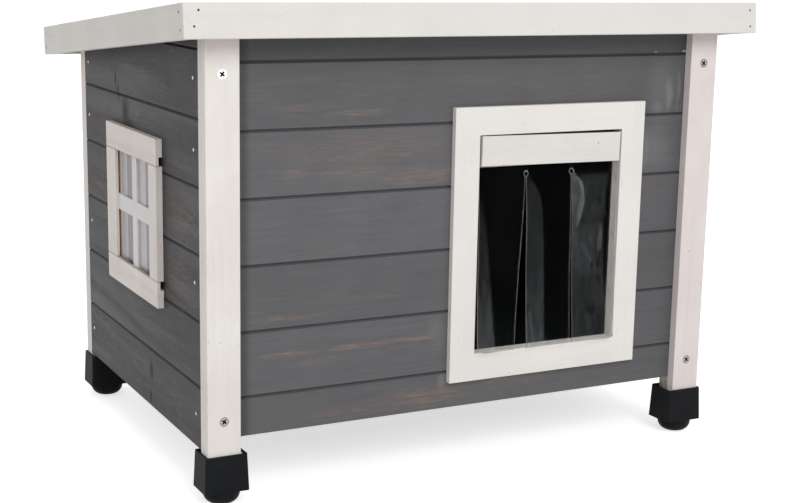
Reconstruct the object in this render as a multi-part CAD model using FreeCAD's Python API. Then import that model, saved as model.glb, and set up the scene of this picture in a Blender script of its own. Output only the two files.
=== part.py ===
import FreeCAD, Part
import math
import os

os.makedirs("parts", exist_ok=True)

# Outdoor wooden cat house with a hinged lean-to lid, strip curtain and window.
# Millimetres. The front faces -Y, the house stands on Z = 0.
# The origin is on the floor under the middle of the overall box.

# Lid: a white fascia frame round a roof board with roofing felt, sloping to the back
roof_width = 570.0
roof_depth = 444.5
roof_slope = 5.5
roof_front_height = 427.5
fascia_height = 28.6
fascia_thickness = 9.5
roof_board_thickness = 6.0
felt_thickness = 2.0
felt_recess = 1.0
lid_seat_gap = 0.3
roof_batten_width = 20.0
roof_batten_height = 14.0
roof_batten_offset = 140.0
roof_batten_clearance = 8.0

# How far the lid hangs over the body and its legs
front_overhang = 21.9
back_overhang = 47.15
side_overhang = 25.7

# Legs: a white board in front, a strip behind it and a packer at the foot
leg_width = 30.0
leg_board_thickness = 9.5
leg_strip_width = 26.0
packer_thickness = 8.5
packer_width = 27.5

# Walls of tongued boards
wall_thickness = 7.0
board_pitch = 57.3
board_joint_gap = 0.2
groove_chamfer = 1.5
least_board_height = 12.0
tongue_thickness = 2.0
tongue_height = 3.0
tongue_clearance = 0.2
front_wall_bottom = 57.0
front_first_joint = 91.3
side_wall_bottom = 47.4
side_first_joint = 102.1

# Raw battens inside the body
corner_batten_width = 36.0
corner_batten_depth = 17.5
batten_rise = 1.0
door_post_width = 20.0
door_post_depth = 14.0
door_post_setback = 8.0
bearer_width = 16.0
bearer_height = 16.0
floor_thickness = 6.0
floor_clearance = 1.0

# Door frame, its opening and the strip curtain
door_to_right_side = 78.8
door_bottom = 81.5
door_board = 25.5
door_frame_thickness = 6.3
door_opening_width = 154.0
door_opening_height = 202.0
batten_end_gap = 2.1
batten_top_gap = 2.4
batten_slant = 0.7
batten_height = 27.4
batten_thickness = 4.8
batten_proud = 0.6
back_strip_thickness = 7.8
sheet_thickness = 1.0
sheet_side_trim = 0.2
sheet_top_trim = 3.0
curtain_drop = 8.0
flap_length = 163.4
flap_tilt = 3.0
flap_top_gap = 0.55
header_bottom_gap = 0.3
slit_hole_radius = 2.1
slit_width = 0.8
flap_corner_radius = 7.0
left_slit_flare = 12.0
middle_flap_flare = 1.6
right_slit_gap = 3.3
flap_side_clearance = 1.0
end_pin_radius = 1.5
end_pin_half_length = 8.0
drive_clearance = 0.05

# Window in the left wall
window_near = 111.8
window_bottom = 150.7
window_height = 153.0
window_rail = 24.3
window_near_stile = 22.3
window_far_stile = 29.1
window_opening_width = 101.3
window_frame_thickness = 6.2
pane_thickness = 1.5
pane_rebate = 8.0
pane_clearance = 0.3
muntin_thickness = 1.8
upright_muntin_width = 14.0
cross_muntin_width = 15.2
cross_muntin_rise = 2.0

# Feet: a square plastic cap with a round screw-in glide
glide_height = 12.2
glide_radius = 16.2
glide_edge_radius = 9.8
glide_gap = 0.3
stud_radius = 2.5
stud_reach = 16.0
stud_clearance = 0.3
stud_end_clearance = 2.0
cap_height = 32.5
cap_floor = 6.0
cap_wall = 2.3
cap_flare = 1.3
cap_corner_radius = 2.0
cap_clearance = 0.1
shim_thickness = 3.0
shim_drop = 1.2

# Butt hinges between the back legs and the lid
hinge_length = 26.0
hinge_leaf = 27.0
hinge_leaf_thickness = 1.2
hinge_knuckle_radius = 2.6
hinge_pin_radius = 1.25
hinge_pin_clearance = 0.05
hinge_knuckle_gap = 0.3
hinge_air = 0.3
hinge_pin_overhang = 1.0

# Fasteners
screw_head_radius = 4.1
screw_head_depth = 2.6
screw_shank_radius = 1.7
screw_length = 30.0
screw_cross_width = 1.5
screw_cross_span = 5.0
screw_cross_depth = 1.2
screw_cross_turn = 38.0
leg_screw_low = 75.2
leg_screw_drop = 46.85
nail_head_radius = 1.5
nail_head_height = 0.6
nail_proud = 0.15
nail_radius = 0.8
nail_length = 12.0
nail_end_inset = 12.3
inner_nail_inset = 9.5
inner_nail_bite = 4.5
brad_radius = 1.0
brad_length = 16.0
side_brad_length = 5.0
hinge_screw_head_radius = 2.2
hinge_screw_head_height = 0.8
hinge_screw_radius = 1.2
hinge_screw_length = 6.0
hinge_screw_spacing = 14.0

# Eased edges on painted boards
board_ease = 0.7
small_ease = 0.4

# Places worked out from the sizes above
slope = math.radians(roof_slope)
overall_depth = roof_depth * math.cos(slope) + fascia_height * math.sin(slope)
lid_front_y = fascia_height * math.sin(slope) - overall_depth / 2
leg_front_y = lid_front_y + front_overhang
body_width = roof_width - 2 * side_overhang
body_depth = roof_depth * math.cos(slope) - front_overhang - back_overhang
body_middle_y = leg_front_y + body_depth / 2
half_width = body_width / 2
half_depth = body_depth / 2
roof_underside = felt_recess + felt_thickness + roof_board_thickness
wall_stack = leg_board_thickness + wall_thickness
cap_bottom = glide_height + glide_gap
cap_top = cap_bottom + cap_height
leg_bottom = cap_bottom + cap_floor
batten_bottom = front_wall_bottom + batten_rise
floor_bottom = batten_bottom + bearer_height
floor_top = floor_bottom + floor_thickness
wall_height = roof_front_height

door_x1 = half_width - door_to_right_side - door_board
door_x0 = door_x1 - door_opening_width
door_z0 = door_bottom + door_board
door_z1 = door_z0 + door_opening_height
wall_front_y = leg_front_y + leg_board_thickness
wall_back_y = wall_front_y + wall_thickness
frame_front_y = wall_front_y - door_frame_thickness
batten_x0 = door_x0 + batten_end_gap
batten_x1 = door_x1 - batten_end_gap
batten_z1 = door_z1 - batten_top_gap
batten_z0 = batten_z1 - batten_height
batten_y0 = frame_front_y - batten_proud
sheet_y0 = batten_y0 + batten_thickness
sheet_y1 = sheet_y0 + sheet_thickness
sheet_y = sheet_y0 + sheet_thickness / 2
curtain_z = batten_z0 - curtain_drop
sheet_x0 = batten_x0 + sheet_side_trim
sheet_x1 = batten_x1 - sheet_side_trim
flap_pitch = (sheet_x1 - sheet_x0) / 3

window_y0 = leg_front_y + window_near
window_y1 = window_y0 + window_near_stile
window_y2 = window_y1 + window_opening_width
window_y3 = window_y2 + window_far_stile
window_z0 = window_bottom
window_z1 = window_z0 + window_rail
window_z3 = window_z0 + window_height
window_z2 = window_z3 - window_rail

# Side wall nails, one line per board from the bottom up: how far the front and the back nail
# sit above the board's middle. Boards with an empty line have none.
side_nail_rises = [
    (-3.8, -3.2),
    (),
    (3.8, 3.5),
    (),
    (2.0, -2.0),
    (4.2, -3.4),
]

# Fascia brads: inset from the end, then depth below the top
brads_by_left_end = [(13.0, 6.0), (9.0, 18.7)]
brads_by_right_end = [(7.6, 7.3), (7.3, 22.4)]
brads_by_side_ends = [(10.2, 7.0), (8.0, 21.3)]

corners = [
    ("front_left", -1, -1),
    ("front_right", 1, -1),
    ("back_left", -1, 1),
    ("back_right", 1, 1),
]


def vec(x, y, z):
    return FreeCAD.Vector(x, y, z)


def box(x0, x1, y0, y1, z0, z1):
    low = vec(min(x0, x1), min(y0, y1), min(z0, z1))
    return Part.makeBox(abs(x1 - x0), abs(y1 - y0), abs(z1 - z0), low)


def eased(shape, radius):
    return shape.makeFillet(radius, shape.Edges)


def save(name, shapes):
    shape = shapes[0] if len(shapes) == 1 else Part.makeCompound(shapes)
    shape.exportStep("parts/" + name + ".step")


def polygon_prism(points, along):
    wire = Part.makePolygon(points + [points[0]])
    return Part.Face(wire).extrude(along)


def rod(radius, start, along):
    return Part.makeCylinder(radius, along.Length, start, along)


# Turns a shape drawn in the lid's flat frame (Y from its front edge, Z from its top) to its place
def on_lid(shape):
    placed = shape.copy()
    placed.rotate(vec(0, 0, 0), vec(1, 0, 0), -roof_slope)
    placed.translate(vec(0, lid_front_y, roof_front_height))
    return placed


# Trims what reaches up to the lid so that the lid rests just clear of it
def under_lid(shape):
    reach = roof_width
    above = box(-reach, reach, -reach, roof_depth + reach, -roof_underside - lid_seat_gap, reach)
    return shape.cut(on_lid(above))


# A box at one corner of the body, measured inwards from the legs' outer faces
def corner_box(side, end, across0, across1, in0, in1, z0, z1):
    x0 = side * (half_width - across0)
    x1 = side * (half_width - across1)
    y0 = body_middle_y + end * (half_depth - in0)
    y1 = body_middle_y + end * (half_depth - in1)
    return box(x0, x1, y0, y1, z0, z1)


# Centre of a foot cap
def foot_centre(side, end):
    across = (leg_width + shim_thickness) / 2
    inward = (wall_stack + packer_thickness) / 2
    x = side * (half_width - across)
    y = body_middle_y + end * (half_depth - inward)
    return x, y


def stud_hole(side, end):
    x, y = foot_centre(side, end)
    depth = stud_reach + stud_end_clearance
    return rod(stud_radius + stud_clearance, vec(x, y, cap_bottom - 1), vec(0, 0, cap_floor + depth + 1))


# Countersunk cross-head screw with its head flush at the point, driven along the direction
def cross_screw(point, direction, clearance=0.0, recess=True):
    head = Part.makeCone(
        screw_head_radius + clearance, screw_shank_radius + clearance, screw_head_depth, point, direction
    )
    shank = rod(screw_shank_radius + clearance, point, direction * (screw_length + clearance))
    screw = head.fuse(shank)
    if not recess:
        return screw
    span = screw_cross_span / 2
    width = screw_cross_width / 2
    cross = box(-span, span, -1, screw_cross_depth, -width, width)
    cross = cross.fuse(box(-width, width, -1, screw_cross_depth, -span, span))
    cross.rotate(vec(0, 0, 0), vec(0, 1, 0), screw_cross_turn)
    if direction.y < 0:
        cross.rotate(vec(0, 0, 0), vec(0, 0, 1), 180)
    cross.translate(point)
    return screw.cut(cross)


def leg_screw_places(side, end):
    x = side * (half_width - leg_width / 2)
    y = body_middle_y + end * half_depth
    return [vec(x, y, leg_screw_low), vec(x, y, seat_height(y) - leg_screw_drop)]


def leg_screws(clearance=0.0, recess=True):
    screws = []
    for _, side, end in corners:
        for place in leg_screw_places(side, end):
            screws.append(cross_screw(place, vec(0, -end, 0), clearance, recess))
    return screws


def without_screws(shape):
    for hole in leg_screws(drive_clearance, False):
        if shape.BoundBox.intersect(hole.BoundBox):
            shape = shape.cut(hole)
    return shape


def leg_board(side, end):
    board = corner_box(side, end, 0, leg_width, 0, leg_board_thickness, leg_bottom, wall_height)
    return without_screws(under_lid(eased(board, board_ease)).cut(stud_hole(side, end)))


def leg_strip(side, end):
    strip = corner_box(
        side, end, 0, leg_strip_width, leg_board_thickness, wall_stack, leg_bottom, wall_height
    )
    return without_screws(under_lid(strip).cut(stud_hole(side, end)))


# Packer behind a leg's foot, level with the side wall's inner face
def foot_packer(side, end):
    inner = wall_stack + packer_thickness
    return corner_box(side, end, wall_thickness, packer_width, wall_stack, inner, leg_bottom, batten_bottom)


def foot_shim(side, end):
    return corner_box(
        side, end, leg_width, leg_width + shim_thickness, 0, wall_stack, leg_bottom, cap_top - shim_drop
    )


def corner_batten(side, end):
    batten = corner_box(
        side, end, wall_thickness, wall_thickness + corner_batten_width,
        wall_stack, wall_stack + corner_batten_depth, batten_bottom, wall_height
    )
    return without_screws(under_lid(batten))


# Section of one wall board: outward depth first, then height
def board_section(z0, z1, has_groove, has_tongue):
    tongue_in = (wall_thickness - tongue_thickness) / 2
    tongue_out = tongue_in + tongue_thickness
    groove_in = tongue_in - tongue_clearance
    groove_out = tongue_out + tongue_clearance
    top = z1 + tongue_height
    groove_top = z0 + tongue_height + tongue_clearance + board_joint_gap
    points = []
    if has_groove:
        points += [(groove_in, z0), (groove_chamfer, z0), (0, z0 + groove_chamfer)]
    else:
        points += [(0, z0)]
    if has_tongue:
        points += [(0, z1 - groove_chamfer), (groove_chamfer, z1)]
        points += [(tongue_in, z1), (tongue_in, top), (tongue_out, top), (tongue_out, z1)]
    else:
        points += [(0, z1)]
    points += [(wall_thickness, z1), (wall_thickness, z0)]
    if has_groove:
        points += [(groove_out, z0), (groove_out, groove_top), (groove_in, groove_top)]
    return points


# Height of the lid's seat over a place from the front to the back
def seat_height(y):
    along = y - lid_front_y
    return roof_front_height - along * math.tan(slope) - (roof_underside + lid_seat_gap) / math.cos(slope)


# Heights of the boards of one wall, whose highest edge is at y; its top board is never a sliver
def board_heights(bottom, first_joint, y):
    top = seat_height(y)
    joints = [first_joint]
    while joints[-1] + board_pitch < top - least_board_height:
        joints.append(joints[-1] + board_pitch)
    levels = [bottom] + joints + [wall_height]
    return list(zip(levels[:-1], levels[1:]))


# The boards of one wall, from start along their length, with outward depth along inward
def wall_boards(heights, start, along, inward):
    boards = []
    half_gap = board_joint_gap / 2
    for index, (z0, z1) in enumerate(heights):
        first = index == 0
        last = index == len(heights) - 1
        low = z0 if first else z0 + half_gap
        high = z1 if last else z1 - half_gap
        section = board_section(low, high, not first, not last)
        points = [start + inward * depth + vec(0, 0, z) for depth, z in section]
        boards.append(under_lid(polygon_prism(points, along)))
    return boards


def cut_boards(boards, cutters):
    pieces = []
    for board in boards:
        for cutter in cutters:
            board = board.cut(cutter)
        pieces += board.Solids
    return pieces


def end_wall_heights(end):
    return board_heights(front_wall_bottom, front_first_joint, body_middle_y + end * half_depth)


def side_wall_heights():
    return board_heights(side_wall_bottom, side_first_joint, leg_front_y + wall_stack)


def front_or_back_boards(end):
    half = half_width - leg_strip_width
    start = vec(-half, body_middle_y + end * (half_depth - leg_board_thickness), 0)
    return wall_boards(end_wall_heights(end), start, vec(2 * half, 0, 0), vec(0, -end, 0))


def side_boards(side):
    start = vec(side * half_width, leg_front_y + wall_stack, 0)
    length = body_depth - 2 * wall_stack
    return wall_boards(side_wall_heights(), start, vec(0, length, 0), vec(-side, 0, 0))


def doorway():
    return box(door_x0, door_x1, leg_front_y, wall_back_y + 1, door_z0, door_z1)


def window_hole():
    return box(-half_width - 1, -half_width + wall_thickness + 1, window_y1, window_y2, window_z1, window_z2)


# Pins that carry the curtain's back strip in the edges of the doorway
def end_pins(clearance=0.0):
    y = sheet_y1 + back_strip_thickness / 2 + drive_clearance
    z = (batten_z0 + batten_z1) / 2
    length = 2 * end_pin_half_length + batten_end_gap
    pins = []
    for x in (door_x0 - end_pin_half_length, batten_x1 - end_pin_half_length):
        pins.append(rod(end_pin_radius + clearance, vec(x, y, z), vec(length, 0, 0)))
    return pins


# Four boards sanded flush with each other, so only the frame's own edges are eased
def door_frame():
    y0 = frame_front_y
    y1 = wall_front_y
    x0 = door_x0 - door_board
    x3 = door_x1 + door_board
    top = door_z1 + door_board
    opening = box(door_x0, door_x1, y0 - 1, y1 + 1, door_z0, door_z1)
    whole = eased(box(x0, x3, y0, y1, door_bottom, top).cut(opening), small_ease)
    pieces = {
        "door_frame_left_stile": box(x0, door_x0, y0, y1, door_bottom, top),
        "door_frame_right_stile": box(door_x1, x3, y0, y1, door_bottom, top),
        "door_frame_top_rail": box(door_x0, door_x1, y0, y1, door_z1, top),
        "door_frame_bottom_rail": box(door_x0, door_x1, y0, y1, door_bottom, door_z0),
    }
    return {name: whole.common(piece).Solids[0] for name, piece in pieces.items()}


# The batten is nailed on by eye, with its left end a little high
def curtain_batten():
    batten = eased(box(batten_x0, batten_x1, batten_y0, sheet_y0, batten_z0, batten_z1), small_ease)
    batten.rotate(vec(batten_x1, sheet_y0, batten_z0), vec(0, 1, 0), batten_slant)
    return batten


def curtain_back_strip():
    strip = box(batten_x0, batten_x1, sheet_y1, sheet_y1 + back_strip_thickness, batten_z0, batten_z1)
    return cut_boards([strip], end_pins(drive_clearance))[0]


def slit_centres():
    return [sheet_x0 + flap_pitch, sheet_x0 + 2 * flap_pitch]


def slit_holes():
    holes = []
    for x in slit_centres():
        holes.append(rod(slit_hole_radius, vec(x, sheet_y0 - 1, curtain_z), vec(0, sheet_thickness + 2, 0)))
    return holes


def curtain_header():
    bottom = curtain_z + header_bottom_gap
    sheet = box(sheet_x0, sheet_x1, sheet_y0, sheet_y1, bottom, batten_z1 - sheet_top_trim)
    return cut_boards([sheet], slit_holes())[0]


# One curtain strip, drawn hanging straight, then leaning out a little as the stiff sheet does
def curtain_flap(top_left, top_right, bottom_left, bottom_right, round_left, round_right):
    top = curtain_z - flap_top_gap
    bottom = curtain_z - flap_length
    corner = [
        vec(top_left, sheet_y0, top),
        vec(top_right, sheet_y0, top),
        vec(bottom_right, sheet_y0, bottom),
        vec(bottom_left, sheet_y0, bottom),
    ]
    flap = polygon_prism(corner, vec(0, sheet_thickness, 0))
    rounded = []
    for edge in flap.Edges:
        along_thickness = abs(edge.Vertexes[0].Y - edge.Vertexes[-1].Y) > sheet_thickness / 2
        low = abs(edge.CenterOfMass.z - bottom) < 1
        at_left = abs(edge.CenterOfMass.x - bottom_left) < 1
        at_right = abs(edge.CenterOfMass.x - bottom_right) < 1
        if along_thickness and low and ((at_left and round_left) or (at_right and round_right)):
            rounded.append(edge)
    if rounded:
        flap = flap.makeFillet(flap_corner_radius, rounded)
    for hole in slit_holes():
        flap = flap.cut(hole)
    flap.rotate(vec(0, sheet_y, curtain_z), vec(1, 0, 0), -flap_tilt)
    return flap


def curtain_flaps():
    slit_a, slit_b = slit_centres()
    half = slit_width / 2
    left_limit = door_x0 + flap_side_clearance
    right_limit = door_x1 - flap_side_clearance
    middle_right = slit_b - half
    return {
        "curtain_flap_left": curtain_flap(
            sheet_x0, slit_a - half, left_limit, slit_a - left_slit_flare, True, False
        ),
        "curtain_flap_middle": curtain_flap(
            slit_a + half, middle_right, slit_a + middle_flap_flare, middle_right, False, False
        ),
        "curtain_flap_right": curtain_flap(
            slit_b + half, sheet_x1, middle_right + right_slit_gap, right_limit, False, True
        ),
    }


def window_x(depth):
    return -half_width - window_frame_thickness + depth


def window_piece(y0, y1, z0, z1):
    return eased(box(window_x(0), -half_width, y0, y1, z0, z1), small_ease)


# Rebate behind the frame that takes the pane and the muntins, open at the rails' ends
def pane_seat():
    depth = -half_width - pane_thickness - muntin_thickness
    inside = 1 - half_width
    tall = box(depth, inside, window_y1 - pane_rebate, window_y2 + pane_rebate, window_z1, window_z2)
    low = window_z1 - pane_rebate
    high = window_z2 + pane_rebate
    wide = box(depth, inside, window_y0 - 1, window_y3 + 1, low, high)
    rails_only = wide.cut(box(depth - 1, 0, window_y0 - 2, window_y3 + 2, window_z1, window_z2))
    return tall.fuse(rails_only)


def window_frame():
    seat = pane_seat()
    pieces = {
        "window_frame_top_rail": window_piece(window_y0, window_y3, window_z2, window_z3),
        "window_frame_bottom_rail": window_piece(window_y0, window_y3, window_z0, window_z1),
        "window_frame_near_stile": window_piece(window_y0, window_y1, window_z1, window_z2),
        "window_frame_far_stile": window_piece(window_y2, window_y3, window_z1, window_z2),
    }
    return {name: piece.cut(seat) for name, piece in pieces.items()}


def window_pane():
    reach = pane_rebate - pane_clearance
    return box(
        -half_width - pane_thickness, -half_width, window_y1 - reach, window_y2 + reach,
        window_z1 - reach, window_z2 + reach
    )


# The muntins lie on the pane, and their ends reach behind the frame into the rebate
def window_muntins():
    x1 = -half_width - pane_thickness
    x0 = x1 - muntin_thickness
    reach = pane_rebate - pane_clearance
    middle_y = (window_y1 + window_y2) / 2
    middle_z = (window_z1 + window_z2) / 2 + cross_muntin_rise
    y0 = middle_y - upright_muntin_width / 2
    y1 = middle_y + upright_muntin_width / 2
    z0 = middle_z - cross_muntin_width / 2
    z1 = middle_z + cross_muntin_width / 2
    upright = box(x0, x1, y0, y1, window_z1 - reach, window_z2 + reach)
    near_bar = box(x0, x1, window_y1 - reach, y0, z0, z1)
    far_bar = box(x0, x1, y1, window_y2 + reach, z0, z1)
    return upright, [near_bar, far_bar]


def door_post(x0):
    post = box(x0, x0 + door_post_width, wall_back_y, wall_back_y + door_post_depth, floor_top, wall_height)
    return under_lid(post)


def door_posts():
    left = door_x0 - door_post_setback - door_post_width
    right = door_x1 + door_post_setback
    return [door_post(left), door_post(right)]


def floor_bearers():
    y0 = leg_front_y + wall_stack + corner_batten_depth
    y1 = leg_front_y + body_depth - wall_stack - corner_batten_depth
    bearers = []
    for side in (-1, 1):
        x0 = side * (half_width - wall_thickness)
        x1 = side * (half_width - wall_thickness - bearer_width)
        bearers.append(box(x0, x1, y0, y1, batten_bottom, floor_bottom))
    return bearers


def floor_panel():
    x = half_width - wall_thickness - floor_clearance
    y0 = leg_front_y + wall_stack + floor_clearance
    y1 = leg_front_y + body_depth - wall_stack - floor_clearance
    panel = box(-x, x, y0, y1, floor_bottom, floor_top)
    notch_across = wall_thickness + corner_batten_width + floor_clearance
    notch_in = wall_stack + corner_batten_depth + floor_clearance
    for _, side, end in corners:
        notch = corner_box(side, end, 0, notch_across, 0, notch_in, floor_bottom - 1, floor_top + 1)
        panel = panel.cut(notch)
    return panel


def rounded_rectangle(x, y, z, width, depth, radius):
    a = width / 2 - radius
    b = depth / 2 - radius
    k = radius * math.sqrt(0.5)
    edges = []
    for sx, sy in ((1, 1), (-1, 1), (-1, -1), (1, -1)):
        centre = vec(x + sx * a, y + sy * b, z)
        corner_start = centre + (vec(radius, 0, 0) * sx if sx * sy > 0 else vec(0, radius, 0) * sy)
        corner_end = centre + (vec(0, radius, 0) * sy if sx * sy > 0 else vec(radius, 0, 0) * sx)
        middle = centre + vec(sx * k, sy * k, 0)
        edges.append(Part.Arc(corner_start, middle, corner_end).toShape())
    loop = []
    for index, edge in enumerate(edges):
        following = edges[(index + 1) % len(edges)]
        loop.append(edge)
        loop.append(Part.makeLine(edge.Vertexes[-1].Point, following.Vertexes[0].Point))
    return Part.Wire(loop)


def foot_cap(side, end):
    x, y = foot_centre(side, end)
    inner_width = leg_width + shim_thickness + 2 * cap_clearance
    inner_depth = wall_stack + packer_thickness + 2 * cap_clearance
    top_width = inner_width + 2 * cap_wall
    top_depth = inner_depth + 2 * cap_wall
    top = rounded_rectangle(x, y, cap_top, top_width, top_depth, cap_corner_radius)
    bottom = rounded_rectangle(
        x, y, cap_bottom, top_width + 2 * cap_flare, top_depth + 2 * cap_flare, cap_corner_radius
    )
    shell = Part.makeLoft([bottom, top], True, True)
    pocket = box(
        x - inner_width / 2, x + inner_width / 2, y - inner_depth / 2, y + inner_depth / 2,
        leg_bottom, cap_top + 1
    )
    return shell.cut(pocket).cut(stud_hole(side, end))


def foot_glide(side, end):
    x, y = foot_centre(side, end)
    flat_radius = glide_radius - glide_edge_radius
    middle = glide_edge_radius * math.sqrt(0.5)
    dome_middle = vec(flat_radius + middle, 0, glide_edge_radius - middle)
    stud_top = leg_bottom + stud_reach
    points = [vec(glide_radius, 0, glide_edge_radius), vec(glide_radius, 0, glide_height)]
    points += [vec(stud_radius, 0, glide_height), vec(stud_radius, 0, stud_top)]
    points += [vec(0, 0, stud_top), vec(0, 0, 0), vec(flat_radius, 0, 0)]
    edges = [Part.makeLine(a, b) for a, b in zip(points[:-1], points[1:])]
    dome = Part.Arc(points[-1], dome_middle, points[0])
    section = Part.Face(Part.Wire(edges + [dome.toShape()]))
    glide = section.revolve(vec(0, 0, 0), vec(0, 0, 1), 360)
    glide.translate(vec(x, y, 0))
    return glide


# Lid pieces are drawn flat, front edge at Y = 0 and top at Z = 0
def fascias():
    half = roof_width / 2
    inner = half - fascia_thickness
    back = roof_depth - fascia_thickness
    pieces = {
        "roof_fascia_front": box(-half, half, 0, fascia_thickness, -fascia_height, 0),
        "roof_fascia_back": box(-half, half, back, roof_depth, -fascia_height, 0),
        "roof_fascia_left": box(-half, -inner, fascia_thickness, back, -fascia_height, 0),
        "roof_fascia_right": box(inner, half, fascia_thickness, back, -fascia_height, 0),
    }
    return {name: on_lid(eased(piece, board_ease)) for name, piece in pieces.items()}


def roof_sheet(top, thickness):
    half = roof_width / 2 - fascia_thickness
    return on_lid(box(-half, half, fascia_thickness, roof_depth - fascia_thickness, -top - thickness, -top))


def roof_battens():
    y0 = front_overhang + wall_stack + roof_batten_clearance
    y1 = front_overhang + body_depth - wall_stack - roof_batten_clearance
    battens = []
    for side in (-1, 1):
        x0 = side * roof_batten_offset - roof_batten_width / 2
        flat = box(x0, x0 + roof_batten_width, y0, y1, -roof_underside - roof_batten_height, -roof_underside)
        battens.append(on_lid(flat))
    return battens


# Hinge axis: just behind the back legs and just under the lid
def hinge_axis():
    drop = roof_underside + hinge_knuckle_radius + hinge_air
    y = leg_front_y + body_depth + hinge_knuckle_radius + hinge_air
    along = (y - lid_front_y + drop * math.sin(slope)) / math.cos(slope)
    z = roof_front_height - along * math.sin(slope) - drop * math.cos(slope)
    return along, drop, y, z


def knuckle(x0, x1, y, z, outer):
    tube = rod(outer, vec(x0, y, z), vec(x1 - x0, 0, 0))
    bore = rod(hinge_pin_radius + hinge_pin_clearance, vec(x0 - 1, y, z), vec(x1 - x0 + 2, 0, 0))
    return tube, bore


def hinge_spans(side):
    x = side * (half_width - leg_width / 2)
    x0 = x - hinge_length / 2
    third = hinge_length / 3
    return x0, third


def body_hinge_leaf(side):
    _, _, y, z = hinge_axis()
    x0, third = hinge_spans(side)
    back = leg_front_y + body_depth
    leaf = box(x0, x0 + hinge_length, back, back + hinge_leaf_thickness, z - hinge_leaf, z)
    relief = rod(
        hinge_knuckle_radius + hinge_knuckle_gap, vec(x0 + third - hinge_knuckle_gap, y, z),
        vec(third + 2 * hinge_knuckle_gap, 0, 0)
    )
    leaf = leaf.cut(relief)
    for start in (x0, x0 + 2 * third):
        tube, bore = knuckle(start, start + third, y, z, hinge_knuckle_radius)
        leaf = leaf.fuse(tube).cut(bore)
    return without_hinge_screws(leaf.removeSplitter())


def lid_hinge_leaf(side):
    along, drop, _, _ = hinge_axis()
    x0, third = hinge_spans(side)
    start = x0 + third + hinge_knuckle_gap
    end = x0 + 2 * third - hinge_knuckle_gap
    top = -roof_underside
    leaf = box(x0, x0 + hinge_length, along, along + hinge_leaf, top - hinge_leaf_thickness, top)
    for x in (x0, end):
        relief = rod(
            hinge_knuckle_radius + hinge_knuckle_gap, vec(x - 1, along, -drop),
            vec(third + 1 + hinge_knuckle_gap, 0, 0)
        )
        leaf = leaf.cut(relief)
    tube, bore = knuckle(start, end, along, -drop, hinge_knuckle_radius)
    leaf = leaf.fuse(tube).cut(bore)
    return without_hinge_screws(on_lid(leaf.removeSplitter()))


def hinge_pins():
    _, _, y, z = hinge_axis()
    pins = []
    for side in (-1, 1):
        x0, _ = hinge_spans(side)
        length = hinge_length + 2 * hinge_pin_overhang
        pins.append(rod(hinge_pin_radius, vec(x0 - hinge_pin_overhang, y, z), vec(length, 0, 0)))
    return pins


def domed_screw(point, direction, clearance=0.0):
    radius = hinge_screw_head_radius + clearance
    start = point - direction * hinge_screw_head_height
    head = Part.makeCylinder(radius, hinge_screw_head_height, start, direction)
    return head.fuse(rod(hinge_screw_radius + clearance, point, direction * hinge_screw_length))


def hinge_screws(clearance=0.0):
    along, _, _, z = hinge_axis()
    out = hinge_knuckle_radius + hinge_leaf / 2
    body_screws = []
    lid_screws = []
    for side in (-1, 1):
        x0, _ = hinge_spans(side)
        middle = x0 + hinge_length / 2
        for x in (middle - hinge_screw_spacing / 2, middle + hinge_screw_spacing / 2):
            back = leg_front_y + body_depth + hinge_leaf_thickness
            body_screws.append(domed_screw(vec(x, back, z - out), vec(0, -1, 0), clearance))
            under = -roof_underside - hinge_leaf_thickness
            lid_screws.append(on_lid(domed_screw(vec(x, along + out, under), vec(0, 0, 1), clearance)))
    return body_screws, lid_screws


def without_hinge_screws(shape):
    body_screws, lid_screws = hinge_screws(drive_clearance)
    for hole in body_screws + lid_screws:
        if shape.BoundBox.intersect(hole.BoundBox):
            shape = shape.cut(hole)
    return shape


def nail(point, direction, length):
    start = point - direction * nail_proud
    head = Part.makeCylinder(nail_head_radius, nail_head_height, start, direction)
    return head.fuse(rod(nail_radius, point, direction * length))


def board_middle(z0, z1, y):
    return (max(z0, batten_bottom) + min(z1, seat_height(y))) / 2


# Nails through the ends of the side boards into the corner battens
def outer_nails():
    nails = []
    for (z0, z1), rises in zip(side_wall_heights(), side_nail_rises):
        for end, rise in zip((-1, 1), rises):
            y = body_middle_y + end * (half_depth - wall_stack - nail_end_inset)
            z = board_middle(z0, z1, y) + rise
            for side in (-1, 1):
                nails.append(nail(vec(side * half_width, y, z), vec(-side, 0, 0), nail_length))
    return nails


# Nails from inside, through the corner battens into the front and back boards
def inner_nails():
    nails = []
    across = leg_strip_width + inner_nail_inset
    inward = wall_stack + corner_batten_depth
    length = corner_batten_depth + inner_nail_bite
    for _, side, end in corners:
        x = side * (half_width - across)
        y = body_middle_y + end * (half_depth - inward)
        for z0, z1 in end_wall_heights(end):
            nails.append(nail(vec(x, y, board_middle(z0, z1, y)), vec(0, end, 0), length))
    return nails


# Sunk brads near the fascias' corners
def fascia_brads():
    half = roof_width / 2
    brads = []
    for insets, side in ((brads_by_left_end, -1), (brads_by_right_end, 1)):
        for inset, down in insets:
            x = side * (half - inset)
            brads.append(on_lid(rod(brad_radius, vec(x, 0, -down), vec(0, brad_length, 0))))
            brads.append(on_lid(rod(brad_radius, vec(x, roof_depth, -down), vec(0, -brad_length, 0))))
    for inset, down in brads_by_side_ends:
        for side in (-1, 1):
            for y in (inset, roof_depth - inset):
                start = vec(side * half, y, -down)
                brads.append(on_lid(rod(brad_radius, start, vec(-side * side_brad_length, 0, 0))))
    return brads


def write_walls():
    pins = end_pins(drive_clearance)
    save("front_wall_boards", cut_boards(front_or_back_boards(-1), [doorway()] + pins))
    save("back_wall_boards", front_or_back_boards(1))
    save("left_wall_boards", cut_boards(side_boards(-1), [window_hole()]))
    save("right_wall_boards", side_boards(1))
    save("door_posts", door_posts())
    save("floor_bearers", floor_bearers())
    save("floor_panel", [floor_panel()])


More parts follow.
